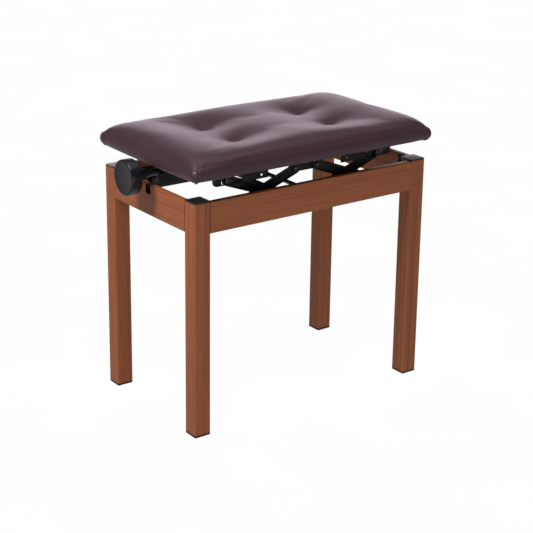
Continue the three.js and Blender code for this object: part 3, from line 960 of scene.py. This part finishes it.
class BENCH_OT_knob(bpy.types.Operator):
    """Builds the turning knob at the left end"""

    bl_idname = "bench.knob"
    bl_label = "Knob"

    thickness = 24 * MM
    bore = 6.6 * MM
    bore_start = 17 * MM

    def execute(self, context):
        settings = context.scene.bench_knob
        centre = Vector((0, 0, (KNOB_LOW.z + KNOB_HIGH.z) / 2))
        radius = (KNOB_HIGH.z - KNOB_LOW.z) / 2
        face = KNOB_LOW.x
        back = face + self.thickness
        bore, bore_end = self.bore, face + self.bore_start
        hub_end = KNOB_HIGH.x
        rim = settings.rim
        lip = radius - rim - 1.2 * MM
        profile = [(face + settings.dish, 0)]
        steps = 14
        for i in range(1, steps + 1):
            share = i / steps
            profile.append((face + settings.dish * (1 - share**3.2), lip * share))
        profile += arc((face + rim, radius - rim), rim, 180, 90, 8)
        profile += [(face + 9 * MM, radius), (back - 7 * MM, radius - 0.25 * MM)]
        profile += arc((back - 4.5 * MM, radius - 5 * MM), 4.5 * MM, 88, 5, 7)
        profile += [
            (back, radius - 8 * MM), (back, 19 * MM), (back - 1.5 * MM, 17 * MM),
            (back - 1.5 * MM, 13.5 * MM), (back, 12 * MM), (hub_end - 1.5 * MM, 11 * MM),
            (hub_end, 9.5 * MM), (hub_end, bore), (bore_end, bore), (bore_end, 0),
        ]
        knob = turned_object("knob_moulded", profile, centre, 0, 96)
        place(knob, knob_plastic(), "plastic", "knob", sharp_angle=40)
        return {"FINISHED"}


# ---------------------------------------------------------------- screws


def pan_head(name, radius, height, recess):
    """A low domed screw head facing +Z with a cross-shaped recess."""
    bm = bmesh.new()
    profile = [(0, 0), (0, radius), (0.25 * height, radius)]
    for degrees in (20, 45, 65, 80):
        angle = math.radians(degrees)
        profile.append((height * (0.25 + 0.75 * math.sin(angle)), radius * math.cos(angle)))
    profile.append((height, 0))
    turned(bm, profile, Vector((0, 0, 0)), 2, 20)
    head = object_from_bmesh(name, bm)
    bm = bmesh.new()
    for turn in (0, math.pi / 2):
        made = bmesh.ops.create_cube(bm, size=1)["verts"]
        for v in made:
            taper = 0.55 if v.co.z < 0 else 1.0
            v.co.x *= 1.35 * radius * taper
            v.co.y *= 0.26 * radius
            v.co.z = height + (0.2 * height if v.co.z > 0 else -recess)
        bmesh.ops.rotate(bm, verts=made, cent=(0, 0, 0), matrix=Matrix.Rotation(turn, 3, "Z"))
    cutter = object_from_bmesh(name + "_recess", bm)
    modifier = head.modifiers.new("Recess", "BOOLEAN")
    modifier.operation = "DIFFERENCE"
    modifier.solver = "EXACT"
    modifier.use_self = True
    modifier.object = cutter
    made = baked(head, name)
    bpy.data.objects.remove(cutter)
    return made


class BENCH_OT_screws(bpy.types.Operator):
    """Puts screw heads on the brackets, the channels and the corner plates"""

    bl_idname = "bench.screws"
    bl_label = "Screws"

    sheet = 2.5 * MM
    off_centre = 3 * MM
    bearing_spots = (-9 * MM, 9 * MM)
    bearing_inset = 8 * MM
    channel_spots = (-150 * MM, -60 * MM, 60 * MM, 150 * MM)
    channel_height = 413 * MM
    plate_heights = (405 * MM, 430 * MM)
    plate_along_rail = 9 * MM
    plate_along_leg = 7 * MM

    def execute(self, context):
        self.chance = random.Random(5)
        head = pan_head("screw_head", 3.6 * MM, 1.9 * MM, 1.3 * MM)
        tree = tree_named("Fasteners on points", fastener_tree)
        for name, points, body in (
            ("seat_screws", self.under_seat(), "seat"), ("frame_screws", self.in_frame(), "frame"),
        ):
            screws = grown(name, points, tree, Part=head, Scale=1.0, Finish=rod_steel())
            place(screws, None, "pin_steel", body=body)
        bpy.data.objects.remove(head)
        return {"FINISHED"}

    def point(self, x, y, z, facing):
        return Vector((x, y, z)), facing, self.chance.uniform(0, 6)

    def under_seat(self):
        """Screws up through the brackets' and the bearing's flanges."""
        down = (0, 0, -1)
        points = []
        rows = [(f"seat_bracket_{corner}", (0.12, 0.52, 0.9)) for corner in CORNERS]
        rows += [(f"middle_bracket_{side}", (0.3, 0.7)) for side in ("front", "back")]
        for node, shares in rows:
            low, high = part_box(node)
            y = (low.y + high.y) / 2
            y -= math.copysign(self.off_centre, y)
            for share in shares:
                x = low.x + (high.x - low.x) * share
                points.append(self.point(x, y, high.z - self.sheet, down))
        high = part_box("end_bearing")[1]
        for y in self.bearing_spots:
            points.append(self.point(high.x - self.bearing_inset, y, high.z - self.sheet, down))
        return points

    def in_frame(self):
        """Screws through the channels and both sides of the corner plates."""
        points = []
        for side, sign in (("front", 1), ("back", -1)):
            low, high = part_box(f"base_channel_{side}")
            face_y = low.y + self.sheet if side == "front" else high.y - self.sheet
            for x in self.channel_spots:
                points.append(self.point(CENTRE_X + x, face_y, self.channel_height, (0, sign, 0)))
        for corner in CORNERS:
            low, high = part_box(f"corner_plate_{corner}")
            end = -1 if corner.endswith("left") else 1
            side = -1 if corner.startswith("front") else 1
            rail_face = high.x - self.sheet if end > 0 else low.x + self.sheet
            leg_face = high.y - self.sheet if side > 0 else low.y + self.sheet
            y = (low.y if side > 0 else high.y) + side * self.plate_along_rail
            x = (low.x if end > 0 else high.x) + end * self.plate_along_leg
            for z in self.plate_heights:
                points.append(self.point(rail_face, y, z, (-end, 0, 0)))
                points.append(self.point(x, leg_face, z, (0, -side, 0)))
        return points


# ---------------------------------------------------------------- seat


class BENCH_OT_seat_base(bpy.types.Operator):
    """Builds the seat board, the cloth under it and the cloth's staples"""

    bl_idname = "bench.seat_base"
    bl_label = "Board, cloth and staples"

    corner = 13 * MM
    stitch = 6 * MM
    # rings of the cloth: distance in from its edge, and height over its lowest face
    hem = (
        (0.0, 0.0), (0.6 * MM, -0.25 * MM), (9 * MM, -0.25 * MM), (9.6 * MM, 0.1 * MM),
        (30 * MM, 0.1 * MM),
    )
    pucker = 0.12 * MM
    flat_from = 20 * MM
    staple_size = (10 * MM, 0.55 * MM, 0.5 * MM)
    staple_inset = 5 * MM
    staple_corner_gap = 16 * MM
    staple_scatter = 2
    staple_turn = 0.12
    staples_along, staples_across = 15, 8

    def execute(self, context):
        board = frame["nodes"]["seat_board"]
        board.data.materials.clear()
        board.data.materials.append(material_named("seat_plywood", plywood))
        self.cloth()
        self.staples()
        return {"FINISHED"}

    def outline(self, inset, first):
        """Evenly spaced points round the board, drawn in. They keep the first outline's number."""
        width, depth = BOARD_HIGH.x - BOARD_LOW.x, BOARD_HIGH.y - BOARD_LOW.y
        corners = rounded_outline(width - 2 * inset, depth - 2 * inset, self.corner, 8)
        points = []
        for a, b in zip(corners, corners[1:] + corners[:1]):
            parts = max(1, round(math.dist(a, b) / self.stitch))
            points += [
                (a[0] + (b[0] - a[0]) * i / parts, a[1] + (b[1] - a[1]) * i / parts)
                for i in range(parts)
            ]
        if first and len(points) != len(first):
            scale_x, scale_y = (width - 2 * inset) / width, (depth - 2 * inset) / depth
            points = [(x * scale_x, y * scale_y) for x, y in first]
        return points

    def cloth(self):
        """A thin sheet with a folded hem and shallow puckers between its staples."""
        low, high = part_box("under_cloth")
        bm = bmesh.new()
        first = None
        rings = []
        for inset, rise in self.hem:
            points = self.outline(inset, first)
            first = first or points
            depth = self.pucker if inset < self.flat_from else 0
            rings.append([
                bm.verts.new((CENTRE_X + x, y, low.z + rise + depth * math.sin(i * 1.3)))
                for i, (x, y) in enumerate(points)
            ])
        top = [bm.verts.new((v.co.x, v.co.y, high.z)) for v in rings[0]]
        count = len(top)
        for a, b in zip([top] + rings, rings):
            for j in range(count):
                k = (j + 1) % count
                bm.faces.new((a[j], a[k], b[k], b[j]))
        bm.faces.new(rings[-1])
        bm.faces.new(top)
        close_skin(bm)
        cloth = object_from_bmesh("under_cloth_hemmed", bm)
        place(cloth, material_named("black_dust_cloth", dust_cloth), "black_cloth", "under_cloth")

    def staples(self):
        """Wire staples along the hem, one every few centimetres."""
        bm = bmesh.new()
        crown, wire, leg = self.staple_size
        for size, offset in (
            ((crown, wire, wire), (0, 0, 0)),
            ((wire, wire, leg), (-crown / 2 + wire / 2, 0, -leg / 2)),
            ((wire, wire, leg), (crown / 2 - wire / 2, 0, -leg / 2)),
        ):
            for v in bmesh.ops.create_cube(bm, size=1)["verts"]:
                v.co = Vector([c * s + o for c, s, o in zip(v.co, size, offset)])
        part = object_from_bmesh("staple", bm)
        chance = random.Random(11)
        half_x = (BOARD_HIGH.x - BOARD_LOW.x) / 2 - self.staple_inset
        half_y = (BOARD_HIGH.y - BOARD_LOW.y) / 2 - self.staple_inset
        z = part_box("under_cloth")[0].z - 0.45 * MM
        down = (0, 0, -1)
        points = []

        def spread(count, reach):
            """Places along one edge, each a little off its even spacing."""
            for i in range(count):
                even = (i / (count - 1) * 2 - 1) * (reach - self.staple_corner_gap)
                yield even + chance.uniform(-self.staple_scatter, self.staple_scatter) * MM

        def turn():
            return chance.uniform(-self.staple_turn, self.staple_turn)

        for sign in (-1, 1):
            for x in spread(self.staples_along, half_x):
                points.append((Vector((CENTRE_X + x, sign * half_y, z)), down, turn()))
            for y in spread(self.staples_across, half_y):
                spot = Vector((CENTRE_X + sign * half_x, y, z))
                points.append((spot, down, math.pi / 2 + turn()))
        tree = tree_named("Fasteners on points", fastener_tree)
        staples = grown("cloth_staples", points, tree, Part=part, Scale=1.0, Finish=rod_steel())
        bpy.data.objects.remove(part)
        place(staples, None, "pin_steel", body="seat")


# ---------------------------------------------------------------- cushion


class BENCH_OT_cushion(bpy.types.Operator):
    """Builds the tufted cushion: a closed cover pressed out by its foam"""

    bl_idname = "bench.cushion"
    bl_label = "Cushion"

    columns = 116
    rows = 78
    corner = 7 * MM
    inset = 7 * MM
    end_drop = 4 * MM
    slow_crown = 5 * MM
    tuft_stretch = 1.25
    tuft_hold = 4.5 * MM
    # the side from the top's edge down: distance out, and height over the widest line, in mm
    side_profile = (
        (2.9, 7.3), (5.3, 4.6), (7.0, 2.0), (8.0, -1.2), (8.1, -4.4), (7.1, -7.4), (5.0, -10.2),
        (2.2, -12.6), (-1.0, -14.2),
    )
    # the stapled edge under the seat: distance out, in mm
    held_profile = (-4.5, -9.0, -15.0, -26.0)
    cloth_values = {
        "quality": 6, "mass": 0.35, "tension_stiffness": 25, "compression_stiffness": 12,
        "shear_stiffness": 8, "bending_stiffness": 1.5, "use_pressure": True,
    }
    # the fold at a corner: where it starts, how it fades in, and its groove, ridge and tucks
    fold_centre = 34 * MM
    fold_angle = math.radians(52)
    fold_start, fold_fade = 20 * MM, 12 * MM
    groove_at, groove_width, groove_depth = 0.8 * MM, 1.3 * MM, 2.0 * MM
    ridge_at, ridge_width, ridge_height = -2.2 * MM, 2.2 * MM, 1.3 * MM
    tuck_start, tuck_fade, tuck_height = 24 * MM, 8 * MM, 0.2
    tuck_count, tuck_depth = 14, 0.8 * MM

    def execute(self, context):
        self.settings = context.scene.bench_cushion
        self.half_x = (CUSHION_HIGH.x - CUSHION_LOW.x) / 2
        self.half_y = (CUSHION_HIGH.y - CUSHION_LOW.y) / 2
        self.bottom = CUSHION_LOW.z + 0.4 * MM
        self.height = CUSHION_HIGH.z - CUSHION_LOW.z
        cover, held = self.cover()
        self.inflate(cover, held)
        cover = self.subdivided(cover)
        self.pleats(cover)
        place(cover, material_named("grained_leatherette", leatherette), "leatherette", "cushion",
              sharp_angle=70)
        return {"FINISHED"}

    def crowded(self, count, crowding=0.55):
        """Numbers from -1 to 1 that lie closer together near the ends."""
        u = np.linspace(-1, 1, count)
        return (1 - crowding) * u + crowding * np.sin(u * math.pi / 2)

    def rounded(self, x, y, half_x, half_y):
        """Draws a square corner into a round one."""
        r = self.corner
        dx, dy = abs(x) - (half_x - r), abs(y) - (half_y - r)
        if dx <= 0 or dy <= 0:
            return x, y
        reach = max(dx, dy) / math.hypot(dx, dy)
        nx, ny = half_x - r + dx * reach, half_y - r + dy * reach
        return math.copysign(nx, x), math.copysign(ny, y)

    def crown(self, x, y):
        """Height of the top over the widest line, before the tufts."""
        s = self.settings
        edge_x, edge_y = self.half_x - abs(x), self.half_y - abs(y)
        fall = (1 - math.exp(-edge_x / s.end_roll)) * (1 - math.exp(-edge_y / s.side_roll))
        slow = (1 - (x / self.half_x) ** 2) * (1 - (y / self.half_y) ** 2)
        rise = self.height - s.bulge_height
        return (rise - self.end_drop) * fall + self.slow_crown * slow

    def tufts(self):
        s = self.settings
        return [(sx * s.tuft_x, sy * s.tuft_y) for sx in (-1, 1) for sy in (-1, 1)]

    def draw_in(self, x, y):
        """How far the tufts draw the cover down at a point."""
        s = self.settings
        total = 0.0
        for tx, ty in self.tufts():
            away = math.hypot((x - tx) / self.tuft_stretch, y - ty)
            total += math.exp(-away / s.tuft_reach) * s.tuft_depth
        return min(total, s.tuft_depth * 1.05)

    def cover(self):
        """The cover before it is pressed out, open below, and the points that are held."""
        s = self.settings
        a, b = self.half_x - self.inset, self.half_y - self.inset
        widest = self.bottom + s.bulge_height
        bm = bmesh.new()
        xs, ys = self.crowded(self.columns) * a, self.crowded(self.rows) * b
        grid = []
        held = []
        for y in ys:
            line = []
            for x in xs:
                px, py = self.rounded(x, y, a, b)
                z = widest + self.crown(px, py) - self.draw_in(px, py)
                v = bm.verts.new((CENTRE_X + px, py, z))
                line.append(v)
                if any(math.hypot(px - tx, py - ty) < self.tuft_hold for tx, ty in self.tufts()):
                    held.append(v)
            grid.append(line)
        for lower, upper in zip(grid, grid[1:]):
            for i in range(self.columns - 1):
                bm.faces.new((lower[i], lower[i + 1], upper[i + 1], upper[i]))
        ring = grid[0] + [line[-1] for line in grid[1:]]
        ring += grid[-1][-2::-1] + [line[0] for line in grid[-2:0:-1]]
        outward = self.outward(ring)
        low = s.bulge_height
        profile = [(out, low + height * MM, False) for out, height in self.side_profile]
        profile += [(out, 0.0, True) for out in self.held_profile]
        last = ring
        for out, height, fixed in profile:
            step = out * MM
            following = []
            for v, direction in zip(ring, outward):
                spot = Vector((v.co.x, v.co.y, 0)) + direction * step
                following.append(bm.verts.new((spot.x, spot.y, self.bottom + height)))
            for i in range(len(ring)):
                k = (i + 1) % len(ring)
                bm.faces.new((last[i], following[i], following[k], last[k]))
            if fixed:
                held += following
            last = following
        bmesh.ops.recalc_face_normals(bm, faces=bm.faces)
        bm.verts.index_update()
        indices = [v.index for v in held]
        return object_from_bmesh("cushion_cover", bm), indices

    def outward(self, ring):
        """Outward directions at the ring's points, level with the floor."""
        found = []
        count = len(ring)
        for i in range(count):
            along = ring[(i + 1) % count].co - ring[i - 1].co
            direction = Vector((along.y, -along.x, 0)).normalized()
            found.append(direction)
        return found

    def inflate(self, obj, held):
        """Lets the foam's pressure press the cover out, held at the underside and the tufts."""
        s = self.settings
        count = len(obj.data.vertices)
        before = np.empty(count * 3)
        obj.data.vertices.foreach_get("co", before)
        before = before.reshape(-1, 3)
        group = obj.vertex_groups.new(name="held")
        group.add(held, 1.0, "REPLACE")
        cloth = obj.modifiers.new("Cloth", "CLOTH")
        how = cloth.settings
        for label, value in self.cloth_values.items():
            setattr(how, label, value)
        how.uniform_pressure_force = s.pressure
        how.vertex_group_mass = group.name
        how.effector_weights.gravity = 0
        cloth.collision_settings.use_collision = False
        cloth.point_cache.frame_start = 1
        cloth.point_cache.frame_end = s.settle_frames
        scene = bpy.context.scene
        for number in range(1, s.settle_frames + 1):
            scene.frame_set(number)
        graph = bpy.context.evaluated_depsgraph_get()
        settled = obj.evaluated_get(graph).to_mesh()
        after = np.empty(count * 3)
        settled.vertices.foreach_get("co", after)
        after = after.reshape(-1, 3)
        obj.modifiers.remove(cloth)
        scene.frame_set(1)
        move = after - before
        size = np.linalg.norm(move, axis=1, keepdims=True)
        if not np.isfinite(size).all():
            raise RuntimeError("the cushion's simulation failed")
        # a soft limit, so that the cover keeps its smooth shape
        limit = s.most_swell
        move *= limit * np.tanh(size / limit) / np.maximum(size, 1e-9)
        move = self.evened(obj, move, s.evening)
        obj.data.vertices.foreach_set("co", (before + move).ravel())
        obj.vertex_groups.clear()
        obj.data.update()

    def evened(self, obj, move, passes):
        """Evens out the movement over neighbouring points, as stiff leather does."""
        ends = np.empty(len(obj.data.edges) * 2, int)
        obj.data.edges.foreach_get("vertices", ends)
        ends = ends.reshape(-1, 2)
        degree = np.bincount(ends.ravel(), minlength=len(move))[:, None]
        for _ in range(passes):
            total = np.zeros_like(move)
            np.add.at(total, ends[:, 0], move[ends[:, 1]])
            np.add.at(total, ends[:, 1], move[ends[:, 0]])
            move = 0.35 * move + 0.65 * total / np.maximum(degree, 1)
        return move

    def subdivided(self, obj):
        """The cover with finer faces, closed below."""
        modifier = obj.modifiers.new("Smooth", "SUBSURF")
        modifier.levels = 1
        modifier.render_levels = 1
        made = baked(obj, "cushion_tufted")
        bm = bmesh.new()
        bm.from_mesh(made.data)
        rim = [e for e in bm.edges if len(e.link_faces) == 1]
        bmesh.ops.holes_fill(bm, edges=rim, sides=0)
        bmesh.ops.triangulate(bm, faces=[f for f in bm.faces if len(f.verts) > 4])
        bmesh.ops.recalc_face_normals(bm, faces=bm.faces)
        bm.to_mesh(made.data)
        bm.free()
        return made

    def pleats(self, obj):
        """Folds the cover at its corners, with gathered tucks under each."""
        count = len(obj.data.vertices)
        co = np.empty(count * 3)
        obj.data.vertices.foreach_get("co", co)
        co = co.reshape(-1, 3)
        normals = np.empty(count * 3)
        obj.data.vertices.foreach_get("normal", normals)
        normals = normals.reshape(-1, 3)
        x, y, z = co[:, 0] - CENTRE_X, co[:, 1], co[:, 2]
        height = (z - self.bottom) / (self.height - self.settings.bulge_height)
        for sx in (-1, 1):
            for sy in (-1, 1):
                dx = (x - sx * (self.half_x - self.fold_centre)) * sx
                dy = (y - sy * (self.half_y - self.fold_centre)) * sy
                reach = np.hypot(dx, dy)
                angle = np.arctan2(dy, dx)
                along = (angle - self.fold_angle) * reach
                zone = (dx > -2 * MM) & (dy > -2 * MM)
                fade = np.clip((reach - self.fold_start) / self.fold_fade, 0, 1) * zone
                fade *= np.clip(1.25 - height * 0.9, 0, 1)
                groove = np.exp(-((along - self.groove_at) / self.groove_width) ** 2)
                ridge = np.exp(-((along - self.ridge_at) / self.ridge_width) ** 2)
                lift = self.ridge_height * ridge - self.groove_depth * groove
                co += normals * (fade * lift)[:, None]
                under = np.clip((reach - self.tuck_start) / self.tuck_fade, 0, 1) * zone
                under *= np.exp(-((height / self.tuck_height) ** 2))
                co[:, 2] -= under * np.sin(angle * self.tuck_count) ** 2 * self.tuck_depth
        obj.data.vertices.foreach_set("co", co.ravel())
        obj.data.update()


# ---------------------------------------------------------------- stage


class BENCH_OT_stage(bpy.types.Operator):
    """Sets the pale floor, the studio lights and the camera"""

    bl_idname = "bench.stage"
    bl_label = "Stage"

    floor_drop = 0.5 * MM
    floor_half = 40
    floor_glow = 0.5
    world_tint, world_strength = (0.9, 0.93, 1, 1), 0.08
    # name, place, aim, width, height, power in watts, tint
    soft_boxes = (
        ("top_box", (0.1, 0.1, 2.4), (0, 0, 0.3), 2.6, 2.0, 16, (1, 1, 1)),
        ("left_key", (-1.75, -0.2, 2.35), (0, 0, 0.4), 0.7, 0.7, 53, (1, 0.97, 0.93)),
        ("back_panel", (1.9, 2.6, 0.9), (0, 0, 0.4), 3.4, 1.6, 36, (1, 0.88, 0.96)),
        ("front_fill", (-0.2, -2.7, 0.35), (0, 0, 0.25), 1.0, 1.0, 13.5, (1, 1, 1)),
    )

    def execute(self, context):
        self.floor()
        self.world(context.scene)
        for values in self.soft_boxes:
            self.soft_box(context.scene, *values)
        self.camera(context.scene)
        context.scene.view_settings.view_transform = "Standard"
        return {"FINISHED"}

    def floor(self):
        """A pale floor that looks evenly lit and gives the pieces a soft light from below."""
        bm = bmesh.new()
        bmesh.ops.create_grid(
            bm, x_segments=8, y_segments=8, size=self.floor_half,
            matrix=Matrix.Translation((0, 0, -self.floor_drop)),
        )
        floor = object_from_bmesh("floor", bm)
        finish = Finish("pale_floor")
        nodes, link = finish.tree.nodes, finish.tree.links.new
        cloud = finish.noise(finish.mapping((1, 1, 1)), 3, detail=2)
        seen = nodes.new("ShaderNodeEmission")
        seen.inputs["Strength"].default_value = 1.0
        link(finish.ramp(cloud, (0.3, 0.985), (0.7, 1.0)), seen.inputs["Color"])
        glow = nodes.new("ShaderNodeEmission")
        glow.inputs["Strength"].default_value = self.floor_glow
        ray = nodes.new("ShaderNodeLightPath")
        mixed = nodes.new("ShaderNodeMixShader")
        link(ray.outputs["Is Camera Ray"], mixed.inputs["Fac"])
        link(glow.outputs["Emission"], mixed.inputs[1])
        link(seen.outputs["Emission"], mixed.inputs[2])
        link(mixed.outputs["Shader"], nodes["Material Output"].inputs["Surface"])
        floor.data.materials.append(finish.material)

    def soft_box(self, scene, name, place_at, aim, width, height, power, tint):
        data = bpy.data.lights.new(name, "AREA")
        data.shape = "RECTANGLE"
        data.size, data.size_y = width, height
        data.energy = power
        data.color = tint
        light = bpy.data.objects.new(name, data)
        scene.collection.objects.link(light)
        light.location = place_at
        light.visible_camera = False
        light.rotation_euler = (Vector(aim) - Vector(place_at)).to_track_quat("-Z", "Y").to_euler()

    def world(self, scene):
        scene.world = bpy.data.worlds.new("studio")
        scene.world.use_nodes = True
        background = scene.world.node_tree.nodes["Background"]
        background.inputs["Color"].default_value = self.world_tint
        background.inputs["Strength"].default_value = self.world_strength

    def camera(self, scene):
        s = scene.bench_stage
        back = Vector((
            math.sin(s.azimuth) * math.cos(s.elevation),
            -math.cos(s.azimuth) * math.cos(s.elevation),
            math.sin(s.elevation),
        ))
        right = (-back).cross(Vector((0, 0, 1))).normalized()
        up = right.cross(-back)
        c, n = math.cos(s.roll), math.sin(s.roll)
        right, up = c * right + n * up, -n * right + c * up
        data = bpy.data.cameras.new("camera")
        data.sensor_width = 36
        data.lens = s.lens
        data.shift_x, data.shift_y = s.shift
        camera = bpy.data.objects.new("camera", data)
        scene.collection.objects.link(camera)
        turn = Matrix((right, up, back)).transposed()
        camera.rotation_euler = turn.to_euler()
        camera.location = Vector(s.aim) + back * s.distance
        scene.camera = camera


# ---------------------------------------------------------------- add-on


OPERATORS = (
    BENCH_OT_wood_frame,
    BENCH_OT_caps,
    BENCH_OT_lift,
    BENCH_OT_pins,
    BENCH_OT_spindle,
    BENCH_OT_knob,
    BENCH_OT_screws,
    BENCH_OT_seat_base,
    BENCH_OT_cushion,
    BENCH_OT_stage,
)
SETTINGS = {
    "bench_wood": WoodFrameSettings,
    "bench_lift": LiftSettings,
    "bench_knob": KnobSettings,
    "bench_cushion": CushionSettings,
    "bench_stage": StageSettings,
}


class BENCH_PT_panel(bpy.types.Panel):
    """Lists the pieces of the bench"""

    bl_idname = "BENCH_PT_panel"
    bl_label = "Piano Bench"
    bl_space_type = "VIEW_3D"
    bl_region_type = "UI"
    bl_category = "Piano Bench"

    def draw(self, context):
        for operator in OPERATORS:
            self.layout.operator(operator.bl_idname)
        for name, group in SETTINGS.items():
            box = self.layout.box()
            settings = getattr(context.scene, name)
            for label in group.__annotations__:
                box.prop(settings, label)


def register():
    for group in SETTINGS.values():
        bpy.utils.register_class(group)
    for name, group in SETTINGS.items():
        setattr(bpy.types.Scene, name, bpy.props.PointerProperty(type=group))
    for operator in OPERATORS:
        bpy.utils.register_class(operator)
    bpy.utils.register_class(BENCH_PT_panel)


def unregister():
    bpy.utils.unregister_class(BENCH_PT_panel)
    for operator in reversed(OPERATORS):
        bpy.utils.unregister_class(operator)
    for name, group in reversed(SETTINGS.items()):
        delattr(bpy.types.Scene, name)
        bpy.utils.unregister_class(group)


def main():
    register()
    bpy.ops.bench.wood_frame()
    bpy.ops.bench.caps()
    bpy.ops.bench.lift()
    bpy.ops.bench.pins()
    bpy.ops.bench.spindle()
    bpy.ops.bench.knob()
    bpy.ops.bench.screws()
    bpy.ops.bench.seat_base()
    bpy.ops.bench.cushion()
    bpy.ops.bench.stage()


if __name__ == "__main__":
    main()
